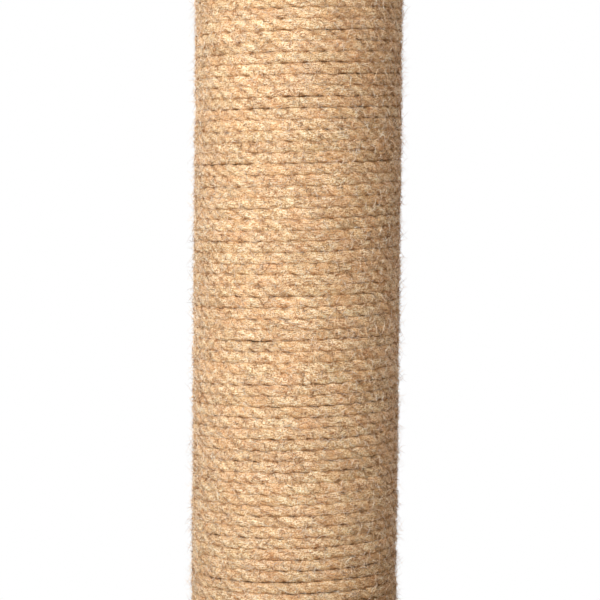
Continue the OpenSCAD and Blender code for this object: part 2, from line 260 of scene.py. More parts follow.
def paintRoom():
    # white where it is seen or mirrored, and dimmer and warmer as a light
    world = bpy.data.worlds.new("white_room")
    bpy.context.scene.world = world
    world.use_nodes = True
    room = Finish(world.node_tree)
    seen = room.node("LightPath", out="Is Camera Ray") + room.node("LightPath", out="Is Glossy Ray")
    seen = seen + room.node("LightPath", out="Is Transmission Ray")
    shown = seen.reckon("MINIMUM", seen, 1.0)
    level = shown * (1 - studio["surround"]) + studio["surround"]
    tint = blend(room, shown, (*studio["roomTint"], 1), (1, 1, 1, 1))
    background = world.node_tree.nodes["Background"]
    world.node_tree.links.new(tint.socket, background.inputs["Color"])
    world.node_tree.links.new(level.socket, background.inputs["Strength"])


def layFloor(middle):
    low = cadBox[0].z - studio["floorDrop"]
    bpy.ops.mesh.primitive_plane_add(size=studio["floorSize"], location=(0, middle.y, low))
    floor = bpy.context.object
    floor.name = "pale_floor"
    material, f = newMaterial("pale_floor", {"Roughness": 0.85, "Specular IOR Level": 0.2})
    cloud = noise(f, place(f), (studio["floorClouds"],) * 3, 2)
    first, second = studio["floorPaint"]
    feed(f, baseColor=blend(f, cloud, sRgb(*first), sRgb(*second)))
    dress(floor, material)


def lightStudio():
    middle = (cadBox[0] + cadBox[1]) / 2
    for name in studio["lamps"]:
        addLamp(name, middle)
    paintRoom()
    layFloor(middle)
    print("studio: lamps, white room and floor are up")


lightStudio()


# ---- rope winding

ropeWinding = {
    "strands": 3,
    "layLength": 0.0285,                # one full twist of the strands
    "strandReach": 0.31,                # from the rope's middle to a strand's, as a share of the radius
    "square": 5.0,                      # how far the pressed turns square up; 2 is round
    "press": 1.14,                      # how much the pressed turns sink into each other
    "cornersPerStrand": 6,
    "ringStep": 0.0019,
    "startAngle": 70,                   # where the rope's two ends lie, in degrees round the post
    "endAngle": 110,
    "climb": 43,                        # degrees over which an end turn steps up onto the next
    "settle": 12,                       # turns over which the end turns even out into a plain helix
    "skew": 0.13,                       # turns by which the right side lies higher, and the left lower
    "tubePlay": 0.0001,                 # left between the rope and the paper tube
    # slow changes along the rope: rings from one value to the next, their size, and a random seed
    "drifts": {
        "bulge": (9, 0.00014, 11),      # outwards, in metres
        "sway": (34, 0.00018, 12),      # up and down, in metres
        "shake": (11, 0.00009, 13),
        "swell": (7, 0.03, 14),         # in thickness, as a share of it
        "slowSwell": (60, 0.03, 15),
        "slowSlip": (40, 0.6, 16),      # in twist, in radians
        "slip": (12, 0.2, 17),
        "strandThick": (16, 0.05, 20),  # of each strand, the next ones with the next seeds
        "strandTone": (22, 1.0, 30),
    },
}

postAxis = sum(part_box("core_tube"), Vector()) / 2
ropeLow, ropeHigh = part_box("lower_rope_turns")[0].z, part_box("upper_rope_turns")[1].z
ropeOut = (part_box("upper_rope_turns")[1].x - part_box("upper_rope_turns")[0].x) / 2
tubeOut = (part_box("core_tube")[1].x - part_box("core_tube")[0].x) / 2
ropeThick = ropeOut - tubeOut - ropeWinding["tubePlay"]
ropeMid = ropeOut - ropeThick / 2


def soften(value):
    # eases a run from 0 to 1, so that it starts and ends gently
    return value * value * (3 - 2 * value)


def drift(count, step, size, seed):
    # a smooth random drift: a new random value every `step` rings, eased from one to the next
    knots = np.random.default_rng(seed).normal(0, size, int(count / step) + 3)
    at = np.arange(count) / step
    whole = at.astype(int)
    share = soften(at - whole)
    return knots[whole] * (1 - share) + knots[whole + 1] * share


def climbed(turn, mark, climb):
    # turns climbed where each turn lies level and steps up just before the mark
    whole = np.floor(turn - mark)
    return whole + soften(np.clip((turn - mark - whole - 1 + climb) / climb, 0, 1))


def ropeLine():
    # the rope's centreline as arrays: angle, radius and height of each ring, and more
    w = ropeWinding
    climbs = round((ropeHigh - ropeLow) / ropeThick) - 1
    start, climb = w["startAngle"] / 360, w["climb"] / 360
    end = w["endAngle"] / 360 + climbs + 1
    count = int((end - start) * 2 * math.pi * ropeMid / w["ringStep"])
    turn = np.linspace(start, end, count)
    even = turn - start
    low = np.clip(1 - even / w["settle"], 0, 1)
    high = np.clip(1 - (climbs + 1 - even) / w["settle"], 0, 1)
    rise = (low * climbed(turn, start, climb) + (1 - low - high) * even
            + high * climbed(turn, w["endAngle"] / 360 + climb, climb)
            + (1 - low - high) * w["skew"] * np.cos(2 * math.pi * turn))
    free = np.clip(np.minimum(even, climbs + 1 - even) / 2, 0, 1)   # the end turns lie still
    strands = range(w["strands"])

    def wander(name, strand=0):
        step, size, seed = w["drifts"][name]
        return drift(count, step, size, seed + strand)

    return {
        "angle": 2 * math.pi * turn,
        "radius": ropeMid + free * wander("bulge"),
        "height": ropeLow + ropeThick * (0.5 + rise) + free * (wander("sway") + wander("shake")),
        "thick": ropeThick / 2 * (w["press"] + wander("swell") + wander("slowSwell")),
        "along": (turn - start) * 2 * math.pi * ropeMid,
        "slip": wander("slowSlip") + wander("slip"),
        "strandThick": np.stack([1 + wander("strandThick", k) for k in strands], 1),
        "strandTone": np.stack([wander("strandTone", k) for k in strands], 1),
    }


def ropeSkin(line):
    # every ring's corners, and what the material reads at each: crown, face, tone, fibre place
    w = ropeWinding
    strands, per, reach = w["strands"], w["cornersPerStrand"], w["strandReach"]
    half = 180 / strands                # degrees from a strand's crown to its groove
    inStrand = np.linspace(-half, half, per + 1)[:-1]
    spots = np.radians(np.concatenate([inStrand + half + 2 * half * k for k in range(strands)]))
    degrees = np.tile(inStrand, strands)
    offCrown = np.radians(degrees)
    outline = reach * np.cos(offCrown) + np.sqrt((1 - reach) ** 2 - (reach * np.sin(offCrown)) ** 2)
    strand = np.repeat(np.arange(strands), per)
    before = (strand - 1) % strands
    edge = 0.5 * (degrees <= -half + 1e-6)          # a groove's corner shares two strands
    thickHere = line["strandThick"][:, strand] * (1 - edge) + line["strandThick"][:, before] * edge
    toneHere = line["strandTone"][:, strand] * (1 - edge) + line["strandTone"][:, before] * edge
    along, angle = line["along"][:, None], line["angle"][:, None]
    around = spots[None, :] - 2 * math.pi * along / w["layLength"] - line["slip"][:, None]
    c, s = np.cos(around), np.sin(around)
    squared = (np.abs(c) ** w["square"] + np.abs(s) ** w["square"]) ** (-1 / w["square"])
    r = line["thick"][:, None] * outline[None, :] * squared * thickHere
    out = line["radius"][:, None] + r * c
    points = np.stack([postAxis.x + out * np.cos(angle), postAxis.y + out * np.sin(angle),
                       line["height"][:, None] + r * s], -1)
    crown = np.broadcast_to(1 - np.abs(degrees) / half, c.shape)
    fibre = np.stack([np.broadcast_to(along, c.shape), c * ropeThick / 2, s * ropeThick / 2], -1)
    return points, {"crown": crown, "face": c, "tone": toneHere, "fibrePlace": fibre}


def tubeMesh(name, points, values):
    # a closed tube through rings of corners, with the values as point attributes
    count, sides = points.shape[:2]
    i, k = np.meshgrid(np.arange(count - 1), np.arange(sides), indexing="ij")
    a, b = i * sides + k, i * sides + (k + 1) % sides
    quads = np.stack([a, a + sides, b + sides, b], -1).reshape(-1, 4)
    caps = [list(range(sides)), list(range(count * sides - 1, (count - 1) * sides - 1, -1))]
    mesh = bpy.data.meshes.new(name)
    mesh.from_pydata(points.reshape(-1, 3).tolist(), [], quads.tolist() + caps)
    mesh.polygons.foreach_set("use_smooth", [True] * len(quads) + [False, False])
    for key, value in values.items():
        flat = np.ascontiguousarray(value, dtype=np.float32).ravel()
        if value.ndim == 3:
            mesh.attributes.new(key, "FLOAT_VECTOR", "POINT").data.foreach_set("vector", flat)
        else:
            mesh.attributes.new(key, "FLOAT", "POINT").data.foreach_set("value", flat)
    mesh.validate()
    return addObject(name, mesh)


juteLook = {
    # noise: lumps to a metre along, out and up the rope, then detail, roughness and shift
    "streak": ((210, 2300, 2300), 2, 0.6),
    "speck": ((1500, 2600, 2600), 1, 0.6, (3, 1, 2)),
    "grit": ((380, 3000, 3000), 1, 0.6, (6, 6, 2)),
    "patch": ((95, 240, 240), 2, 0.5, (9, 4, 7)),
    "wide": ((55, 130, 130), 2, 0.5, (1, 8, 5)),
    "warm": ((70, 120, 120), 1, 0.5, (4, 3, 9)),
    "straw": [(0.16, (124, 62, 22)), (0.40, (211, 158, 98)),
              (0.58, (250, 215, 160)), (0.84, (255, 250, 218))],
    "pink": (255, 196, 150), "green": (240, 206, 148), "rust": (230, 156, 88),
    "tintShare": 0.42,                  # of pink and green in the straw
    "paleStrand": (255, 255, 255), "dullStrand": (240, 236, 232),
    "toneReach": 1.6,                   # how far the strands' tone runs either way from 0
    # dust: the grooves' brown, painted shade with some dust
    "dust": (160, 96, 48),
    "strandGroove": 0.16, "turnGroove": 0.2,             # shares of painted shade and dust in the two kinds of groove
    "fleck": (104, 64, 38), "fleckShare": 0.7,
    "relief": 0.0011,
}


def juteMaterial():
    j = juteLook
    material, f = newMaterial("jute_rope", {"Specular IOR Level": 0.25})
    where = carried(f, "fibrePlace", "Vector")
    crown, face, tone = carried(f, "crown"), carried(f, "face"), carried(f, "tone")
    streak, speck, grit = [noise(f, where, *j[name]) for name in ("streak", "speck", "grit")]
    patch, wide, warm = [noise(f, where, *j[name]) for name in ("patch", "wide", "warm")]
    straw = ramp(f, streak * 0.7 + speck * 1.9 + grit * 1.0 - 1.3, j["straw"])
    # some stretches are pinker, some greener and some rusty
    pink = blend(f, 0.5, straw, sRgb(*j["pink"]))
    green = blend(f, 0.5, straw, sRgb(*j["green"]))
    base = blend(f, j["tintShare"], straw, blend(f, (wide - 0.3) * 2.5, green, pink))
    base = blend(f, (warm - 0.45) * 1.0, base, sRgb(*j["rust"]))
    reach = j["toneReach"]
    light = f.node("MapRange", {}, {"Value": tone, "From Min": -reach, "From Max": reach})
    strand = blend(f, light, sRgb(*j["dullStrand"]), sRgb(*j["paleStrand"]))
    base = blend(f, 1.0, base, strand, "MULTIPLY")
    # the groove between strands, and the one between turns, hold shade and dust
    strandGroove = (1 - crown) ** 3.0
    turnGroove = (1 - face.reckon("MAXIMUM", face, 0.0)) ** 4.0
    shade = (strandGroove * j["strandGroove"] + turnGroove * j["turnGroove"]) * (patch * 2.2 - 0.1)
    base = blend(f, shade.reckon("MINIMUM", shade, 0.9), base, sRgb(*j["dust"]))
    flecks = (speck > 0.65) * (patch > 0.55)
    base = blend(f, flecks * j["fleckShare"], base, sRgb(*j["fleck"]))
    feed(f, baseColor=base, roughness=0.24 + speck * 0.2,
         normal=bump(f, streak * 0.25 + speck * 0.5 + grit * 0.25, j["relief"]))
    return material


def windRope():
    line = ropeLine()
    points, values = ropeSkin(line)
    jute = juteMaterial()
    low, high = [end.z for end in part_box("middle_rope_turns")]
    # the pieces from the foot up: the CAD node that each stands for, and the height where it ends
    pieces = {
        "rope_foot": ("lower_rope_turns", (ropeLow + low) / 2),
        "rope_below_middle": ("lower_rope_turns", low),
        "rope_middle": ("middle_rope_turns", high),
        "rope_above_middle": ("upper_rope_turns", (high + ropeHigh) / 2),
        "rope_head": ("upper_rope_turns", None),
    }
    first = 0
    for name, (node, top) in pieces.items():
        last = len(line["height"]) - 1
        if top is not None:
            last = int(np.argmax(line["height"] >= top))
        span = slice(first, last + 1)
        piece = tubeMesh(name, points[span], {key: value[span] for key, value in values.items()})
        dress(piece, jute)
        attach(piece, "tree")
        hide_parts(node)
        first = last
    print("rope:", round(float(line["along"][-1]), 2), "m wound in", len(line["angle"]), "rings")
    return line


ropeCentre = windRope()


# ---- loose fibres that stand off the rope

looseFibres = {
    # points along a fibre, how many, how long, how far it lifts, and how thick it is;
    # how far it turns from the rope's run and curls, in degrees, and the share with a free end
    "lying": {"points": 4, "count": 9000, "length": (0.003, 0.010), "lift": (0.0001, 0.0007),
              "thick": 0.00010, "heading": 20, "curl": 30, "free": 0.3, "seed": 51},
    "crossing": {"points": 4, "count": 16000, "length": (0.002, 0.009), "lift": (0.0002, 0.0014),
                 "thick": 0.00013, "heading": 65, "curl": 60, "free": 0.4, "seed": 52},
    "fuzz": {"points": 3, "count": 36000, "length": (0.001, 0.0038), "lift": (0.0005, 0.0023),
             "thick": 0.00012, "heading": 90, "curl": 40, "free": 1.0, "seed": 54},
    "standing": {"points": 5, "count": 7000, "length": (0.004, 0.013), "lift": (0.0010, 0.0058),
                 "thick": 0.00007, "heading": 80, "curl": 50, "free": 1.0, "seed": 53},
}

fibreLay = {
    "bareRings": 300,                   # rings at the rope's ends that grow none
    "spread": 75,                       # degrees up or down the rope's face where a fibre starts
    "root": 0.00015,                    # how deep it starts
    "clear": 0.86,                      # how far out it stays, of the rope's half thickness
    "margin": 0.0004,                   # kept from the winding's ends
    "waver": 0.6,                       # how much it turns from point to point, of its curl
    "takeOff": 1.4,                     # how late a free end lifts; 1 is evenly all along
    "taper": 0.35, "tip": 0.15,         # how soon it thins, and how much of it the end keeps
    "perPiece": 9000,                   # fibres in a piece
    "stain": ((420, 420, 420), 1),
    "tones": [(0.0, (100, 60, 30)), (0.28, (184, 132, 82)),
              (0.5, (240, 197, 143)), (1.0, (255, 248, 226))],
}


def fibreSweep(kind, line):
    # points of every fibre of one kind: laid out on the unrolled rope, then wrapped round the post
    k, lay = looseFibres[kind], fibreLay
    dice = np.random.default_rng(k["seed"])
    n, steps = k["count"], k["points"]
    ring = dice.integers(lay["bareRings"], len(line["angle"]) - lay["bareRings"], n)
    side = np.radians(dice.uniform(-lay["spread"], lay["spread"], n))
    length = dice.uniform(*k["length"], n)
    lift = dice.uniform(*k["lift"], n)
    heading = np.radians(dice.normal(0, k["heading"], n)) + np.where(dice.random(n) < 0.5, 0, math.pi)
    curl = np.radians(dice.normal(0, k["curl"], n))
    wave = np.radians(dice.normal(0, k["curl"] * lay["waver"], (n, steps)))
    t = np.linspace(0, 1, steps)
    turn = heading[:, None] + curl[:, None] * t + wave
    stepLen = length[:, None] / (steps - 1)
    x = np.concatenate([np.zeros((n, 1)), np.cumsum(np.cos(turn[:, :-1]) * stepLen, 1)], 1)
    v = np.concatenate([np.zeros((n, 1)), np.cumsum(np.sin(turn[:, :-1]) * stepLen, 1)], 1)
    free = (dice.random(n) < k["free"])[:, None]
    rise = lift[:, None] * np.where(free, t ** lay["takeOff"], 4 * t * (1 - t))
    half = line["thick"][ring]
    base = line["radius"][ring] + half * np.cos(side) - lay["root"]
    out = np.maximum(base[:, None], line["radius"][ring][:, None] + half[:, None] * lay["clear"]) + rise
    out[:, 0] = base
    out[:, -1] = np.where(free[:, 0], out[:, -1], base)
    angle = line["angle"][ring][:, None] + x / out
    z = line["height"][ring][:, None] + (half * np.sin(side))[:, None] + v
    inside = (z.min(1) > ropeLow + lay["margin"]) & (z.max(1) < ropeHigh - lay["margin"])
    paths = np.stack([postAxis.x + out * np.cos(angle), postAxis.y + out * np.sin(angle), z], -1)
    return paths[inside], dice.random(n)[inside]


def fibreMesh(name, paths, tones, thick):
    # a three-sided tapered tube along every path, closed at both ends, with a tone of its own
    n, steps = paths.shape[:2]
    along = np.gradient(paths, axis=1)
    along /= np.linalg.norm(along, axis=2, keepdims=True) + 1e-12
    outward = paths - np.array([postAxis.x, postAxis.y, 0])
    outward[..., 2] = 0
    side = np.cross(along, outward)
    side /= np.linalg.norm(side, axis=2, keepdims=True) + 1e-12
    up = np.cross(side, along)
    thinning = np.linspace(1, 0, steps) ** fibreLay["taper"]
    taper = (thick * thinning + thick * fibreLay["tip"])[None, :, None]
    around = (0, 2 * math.pi / 3, 4 * math.pi / 3)
    rings = np.stack([paths + taper * (math.cos(q) * up + math.sin(q) * side) for q in around], 2)
    base = (np.arange(n) * steps * 3)[:, None, None]
    i, k = np.meshgrid(np.arange(steps - 1), np.arange(3), indexing="ij")
    a, b = i * 3 + k, i * 3 + (k + 1) % 3
    quads = (np.stack([a, b, b + 3, a + 3], -1).reshape(1, -1, 4) + base).reshape(-1, 4)
    last = steps * 3 - 1
    ends = (np.array([[2, 1, 0], [last - 2, last - 1, last]])[None] + base).reshape(-1, 3)
    mesh = bpy.data.meshes.new(name)
    mesh.from_pydata(rings.reshape(-1, 3).tolist(), [], quads.tolist() + ends.tolist())
    mesh.polygons.foreach_set("use_smooth", [True] * len(mesh.polygons))
    own = np.repeat(tones, steps * 3).astype(np.float32)
    mesh.attributes.new("tone", "FLOAT", "POINT").data.foreach_set("value", own)
    return addObject(name, mesh)


def fibreMaterial():
    material, f = newMaterial("loose_jute_fibres", {"Roughness": 0.7, "Specular IOR Level": 0.3})
    stain = noise(f, place(f), *fibreLay["stain"])
    feed(f, baseColor=ramp(f, carried(f, "tone") * 0.9 + stain * 0.1, fibreLay["tones"]))
    return material


def scatterFibres(line):
    material = fibreMaterial()
    limit = fibreLay["perPiece"]
    for kind in looseFibres:
        paths, tones = fibreSweep(kind, line)
        for first in range(0, len(paths), limit):
            number = "" if len(paths) <= limit else "_" + str(first // limit + 1)
            span = slice(first, first + limit)
            thick = looseFibres[kind]["thick"]
            piece = fibreMesh(kind + "_fibres" + number, paths[span], tones[span], thick)
            dress(piece, material)
            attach(piece, "tree")
    print("rope: loose fibres are scattered")


scatterFibres(ropeCentre)


# ---- hands-on helpers

merging = {
    "doubles": 0.000002,                # corners of the CAD triangles this close are one
    "flat": 0.6,                        # degrees between faces that are one face
    "sharp": 38,                        # degrees from which an edge is eased
    "smooth": 35,                       # degrees up to which shading runs on over an edge
}


def takeUp(piece):
    # alone in the selection, and active
    bpy.ops.object.select_all(action="DESELECT")
    bpy.context.view_layer.objects.active = piece
    piece.select_set(True)


def workingCopy(node, name):
    # a copy of a CAD node's mesh, merged into whole faces
    piece = addObject(name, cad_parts[node].data.copy())
    takeUp(piece)
    bpy.ops.mesh.customdata_custom_splitnormals_clear()
    bpy.ops.object.mode_set(mode="EDIT")
    bpy.ops.mesh.select_all(action="SELECT")
    bpy.ops.mesh.remove_doubles(threshold=merging["doubles"])
    bpy.ops.mesh.dissolve_limited(angle_limit=math.radians(merging["flat"]))
    bpy.ops.object.mode_set(mode="OBJECT")
    return piece


def easeEdges(piece, width, segments, wanted=None):
    # bevels the sharp edges, or only those whose two ends both pass the test `wanted`
    bpy.ops.object.mode_set(mode="EDIT")
    bpy.ops.mesh.select_mode(type="EDGE")
    bpy.ops.mesh.select_all(action="DESELECT")
    bpy.ops.mesh.edges_select_sharp(sharpness=math.radians(merging["sharp"]))
    bpy.ops.object.mode_set(mode="OBJECT")
    ends = piece.data.vertices
    for edge in piece.data.edges:
        if edge.select and wanted and not all(wanted(ends[k].co) for k in edge.vertices):
            edge.select = False
    for vertex in ends:
        vertex.select = False
    for face in piece.data.polygons:
        face.select = False
    bpy.ops.object.mode_set(mode="EDIT")
    bpy.ops.mesh.bevel(offset=width, segments=segments, profile=0.5, affect="EDGES", clamp_overlap=True)
    bpy.ops.mesh.select_all(action="DESELECT")
    bpy.ops.object.mode_set(mode="OBJECT")
    bpy.ops.object.shade_smooth_by_angle(angle=math.radians(merging["smooth"]))


def applyModifier(piece, kind, **settings):
    # adds one modifier and applies it, as from the modifier tab
    bpy.context.view_layer.objects.active = piece
    added = piece.modifiers.new(kind.lower(), kind)
    for key, value in settings.items():
        setattr(added, key, value)
    bpy.ops.object.modifier_apply(modifier=added.name)


def corners(piece):
    # the piece's corners as an array that can be bent and put back
    flat = np.zeros(len(piece.data.vertices) * 3)
    piece.data.vertices.foreach_get("co", flat)
    return flat.reshape(-1, 3)


def putCorners(piece, places):
    piece.data.vertices.foreach_set("co", np.ascontiguousarray(places).ravel())
    piece.data.update()


# ---- plywood boards

boards = {
    "edgeRound": 0.0016, "edgeSteps": 4,
    "rimSide": 0.16,                    # the rim lies beyond these lines, the bolt hole within
    "rimFront": -0.2, "rimWall": -0.02,
    "plies": 13,
    # noise: lumps to a metre across, forward and up, then detail, roughness and shift
    "contour": ((2.6, 15, 15), 2, 0.45),
    "contours": 11.0,                   # bands from the noise's low to its high
    "fibre": ((34, 950, 950), 3, 0.6),
    "flecks": ((150, 1500, 1500), 1, 0.5, (5, 2, 7)),
    "endGrain": ((420, 420, 2600), 2, 0.6, (2, 6, 4)),
    "paleVeneer": (236, 212, 172), "warmVeneer": (219, 188, 142), "fleck": (168, 126, 84),
    "longPly": ((240, 216, 178), (214, 180, 132)), "crossPly": ((204, 166, 120), (178, 138, 94)),
    "glue": (112, 78, 52),
    "relief": 0.00008,
}


def plyMaterial(name, node):
    b = boards
    low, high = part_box(node)
    material, f = newMaterial(name, {
        "Specular IOR Level": 0.3, "Coat Weight": 0.05, "Coat Roughness": 0.45})
    where = place(f)
    facing = abs(part(f, f.node("NewGeometry", out="Normal"), "Z"))
    ply = (part(f, where, "Z") - low.z) * (b["plies"] / (high.z - low.z))
    # rotary-cut face: broad contour bands, fine fibres and short flecks along the board
    land = noise(f, where, *b["contour"], (low.z * 9, 3, 1)) * b["contours"]
    bands = land.reckon("PINGPONG", land, 1.0)
    fibre = noise(f, where, *b["fibre"])
    share = bands * 0.5 + fibre * 0.55 - 0.05
    face = blend(f, share, sRgb(*b["paleVeneer"]), sRgb(*b["warmVeneer"]))
    fleck = noise(f, where, *b["flecks"]) > 0.71
    face = blend(f, fleck * 0.4, face, sRgb(*b["fleck"]))
    # edge: plies in turn along and across the grain, with thin glue lines
    turn = ply.reckon("FLOORED_MODULO", ply.reckon("FLOOR", ply), 2.0)
    rough = noise(f, where, *b["endGrain"])
    along, across = [blend(f, rough, sRgb(*light), sRgb(*dark))
                     for light, dark in (b["longPly"], b["crossPly"])]
    edge = blend(f, turn, along, across)
    seam = abs(ply.reckon("FRACT", ply) - 0.5) > 0.455
    edge = blend(f, seam * 0.6, edge, sRgb(*b["glue"]))
    onFace = f.node("MapRange", {"interpolation_type": "SMOOTHSTEP"},
                    {"Value": facing, "From Min": 0.55, "From Max": 0.9})
    feed(f, baseColor=blend(f, onFace, edge, face), roughness=0.58 - onFace * 0.08 + fibre * 0.12,
         normal=bump(f, fibre * 0.6 + rough * 0.4, b["relief"]))
    return material


def onRim(corner):
    return abs(corner.x) > boards["rimSide"] or not boards["rimFront"] <= corner.y <= boards["rimWall"]


def makeBoards():
    for node, name in (("perch_board", "perch_plywood"), ("step_board", "step_plywood")):
        board = workingCopy(node, name)
        easeEdges(board, boards["edgeRound"], boards["edgeSteps"], onRim)
        dress(board, plyMaterial(name, node))
        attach(board, "tree")
        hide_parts(node)
    print("boards: plywood with eased edges")


makeBoards()


# ---- steel brackets, bolts, screws, tacks and staples

steelwork = {
    "bracketEdge": 0.0005, "edgeSteps": 2,
    "enamel": (58, 60, 64), "enamelDust": (72, 74, 78), "enamelRelief": 0.00009,
    "peel": ((900, 900, 900), 2),
    "dust": ((24, 24, 24), 3, 0.6, (4, 4, 4)),
    # light and dark colour, roughness, and clouds to a metre
    "zinc": ((206, 208, 210), (168, 172, 178), 0.28, 260),
    "brass": ((212, 178, 100), (176, 140, 72), 0.3, 300),
    "metalRelief": 0.00002,
}


def enamelMaterial():
    material, f = newMaterial("grey_powder_coat", {"Specular IOR Level": 0.45})
    peel, dust = [noise(f, place(f), *steelwork[name]) for name in ("peel", "dust")]
    colour = blend(f, dust, sRgb(*steelwork["enamel"]), sRgb(*steelwork["enamelDust"]))
    feed(f, baseColor=colour, roughness=0.42 + peel * 0.2,
         normal=bump(f, peel, steelwork["enamelRelief"]))
    return material


def metalMaterial(name, metal):
    light, dark, rough, scale = steelwork[metal]
    material, f = newMaterial(name, {"Metallic": 1.0})
    where = place(f)
    cloud = noise(f, where, (scale, scale, scale), 3, 0.6)
    scratch = noise(f, where, (scale * 2, scale * 14, scale * 2), 2, 0.5, (7, 1, 3))
    feed(f, baseColor=blend(f, cloud, sRgb(*light), sRgb(*dark)), roughness=rough + scratch * 0.2,
         normal=bump(f, scratch, steelwork["metalRelief"]))
    return material


def makeSteelwork():
    coat = enamelMaterial()
    for node in ("left_perch_bracket", "right_perch_bracket", "left_step_bracket", "right_step_bracket"):
        bracket = workingCopy(node, node + "_steel")
        easeEdges(bracket, steelwork["bracketEdge"], steelwork["edgeSteps"])
        dress(bracket, coat)
        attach(bracket, "tree")
        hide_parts(node)
    zinc, brass = metalMaterial("bright_zinc", "zinc"), metalMaterial("turned_brass", "brass")
    for end in ("top", "bottom"):
        for kind in ("bolt", "washer", "plug_tacks", "rope_staples"):
            dress(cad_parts[end + "_" + kind], zinc)
        dress(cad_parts[end + "_insert"], brass)
    for board in ("perch", "step"):
        dress(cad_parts[board + "_bracket_screws"], zinc)
    print("steelwork: brackets eased, zinc and brass in place")


makeSteelwork()


# ---- paper tube and wooden plugs inside the post

postCore = {
    "paper": ((176, 142, 102), (148, 114, 78)), "paperSeam": (110, 82, 54),
    "paperTurns": 11,                   # turns of the paper to a metre of tube
    "pulp": ((300, 300, 900), 4, 0.6),
    "paperRelief": 0.00006,
    "pine": ((232, 204, 156), (196, 148, 92)),
    "pith": (0.07, 0.2, 0),             # how far the tree's middle lies outside the plugs
    "yearRings": 330,                   # to a metre
    "sway": ((20, 20, 20), 2), "pores": ((900, 900, 900), 2),
    "pineRelief": 0.00005,
}


def kraftMaterial():
    material, f = newMaterial("kraft_tube", {"Roughness": 0.9, "Specular IOR Level": 0.2})
    where = place(f)
    centred = f.node("Mapping", {}, {"Vector": where, "Location": (-postAxis.x, -postAxis.y, 0)})
    x, y, z = [part(f, centred, axis) for axis in "XYZ"]
    spiral = x.reckon("ARCTAN2", y, x) * (1 / (2 * math.pi)) + z * postCore["paperTurns"]
    seam = abs(spiral.reckon("FRACT", spiral) - 0.5) > 0.485
    pulp = noise(f, where, *postCore["pulp"])
    light, dark = postCore["paper"]
    colour = blend(f, pulp, sRgb(*light), sRgb(*dark))
    feed(f, baseColor=blend(f, seam * 0.5, colour, sRgb(*postCore["paperSeam"])),
         normal=bump(f, pulp, postCore["paperRelief"]))
    return material


def pineMaterial():
    material, f = newMaterial("turned_pine", {"Roughness": 0.6, "Specular IOR Level": 0.35})
    where = place(f)
    toPith = {"Vector": where, "Location": postCore["pith"], "Scale": (1, 1, 0.05)}
    fromPith = f.node("Mapping", {}, toPith)
    sway, pores = [noise(f, where, *postCore[name]) for name in ("sway", "pores")]
    far = f.node("VectorMath", {"operation": "LENGTH"}, {0: fromPith}, "Value") + sway * 0.004
    rings = far * postCore["yearRings"]
    ring = rings.reckon("FRACT", rings)
    light, dark = postCore["pine"]
    feed(f, baseColor=blend(f, ring ** 3.0, sRgb(*light), sRgb(*dark)),
         normal=bump(f, pores, postCore["pineRelief"]))
    return material


def finishCore():
    dress(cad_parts["core_tube"], kraftMaterial())
    pine = pineMaterial()
    for plug in ("top_plug", "bottom_plug"):
        dress(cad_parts[plug], pine)
    print("post: tube and plugs finished")


finishCore()


# ---- cushion on the perch

cushionMake = {
    "voxel": 0.0055, "pressure": 3.0, "steps": 20,
    "cap": 0.007,                       # the furthest that the air may push the cloth
    "spare": 0.035,                     # how much bigger the cloth is cut than the form
    "flatter": 0.0035,                  # how much the form starts below its full height
    "seamHeight": 0.011,                # above the cushion's underside
    "seamHold": 0.004,                  # cloth this near the seam is held by it
    "baseHold": 0.0025,                 # and so is what lies this near the board
    "seamPinch": 0.0022, "pinchReach": 0.009,
    "pucker": 0.0006, "puckerFrom": 0.007, "puckerReach": 0.008,
    "puckerTurns": 37,                  # how closely the puckers follow each other round the seam
    "crownOver": 0.004,                 # the most that the crown may stand over its CAD form
    "piping": 0.0021, "pipingSteps": 420,
    "pipingOut": 0.45,                  # how far its middle stands off the seam, of its own radius
    "lookFrom": 0.4,                    # from the middle out, where the search for the seam starts
    # between: painted shade in the hollows between the threads
    "cloth": (214, 203, 184), "clothDark": (178, 165, 144), "between": (150, 138, 118),
    "faded": (226, 217, 200), "sheen": (250, 246, 238),
    "weave": 0.0013, "pipingWeave": 0.0009,              # from one thread to the next
    "slubs": (((30, 900, 200), 2), ((900, 30, 200), 2, 0.5, (5, 5, 5))),
    "fading": ((9, 9, 9), 3),
    "relief": 0.00035,
}

clothSettings = {
    "quality": 6, "mass": 0.3, "tension_stiffness": 12, "compression_stiffness": 12,
    "shear_stiffness": 6, "bending_stiffness": 0.6, "use_pressure": True,
    "uniform_pressure_force": cushionMake["pressure"],
    "shrink_min": -cushionMake["spare"],
    "vertex_group_mass": "held",
}


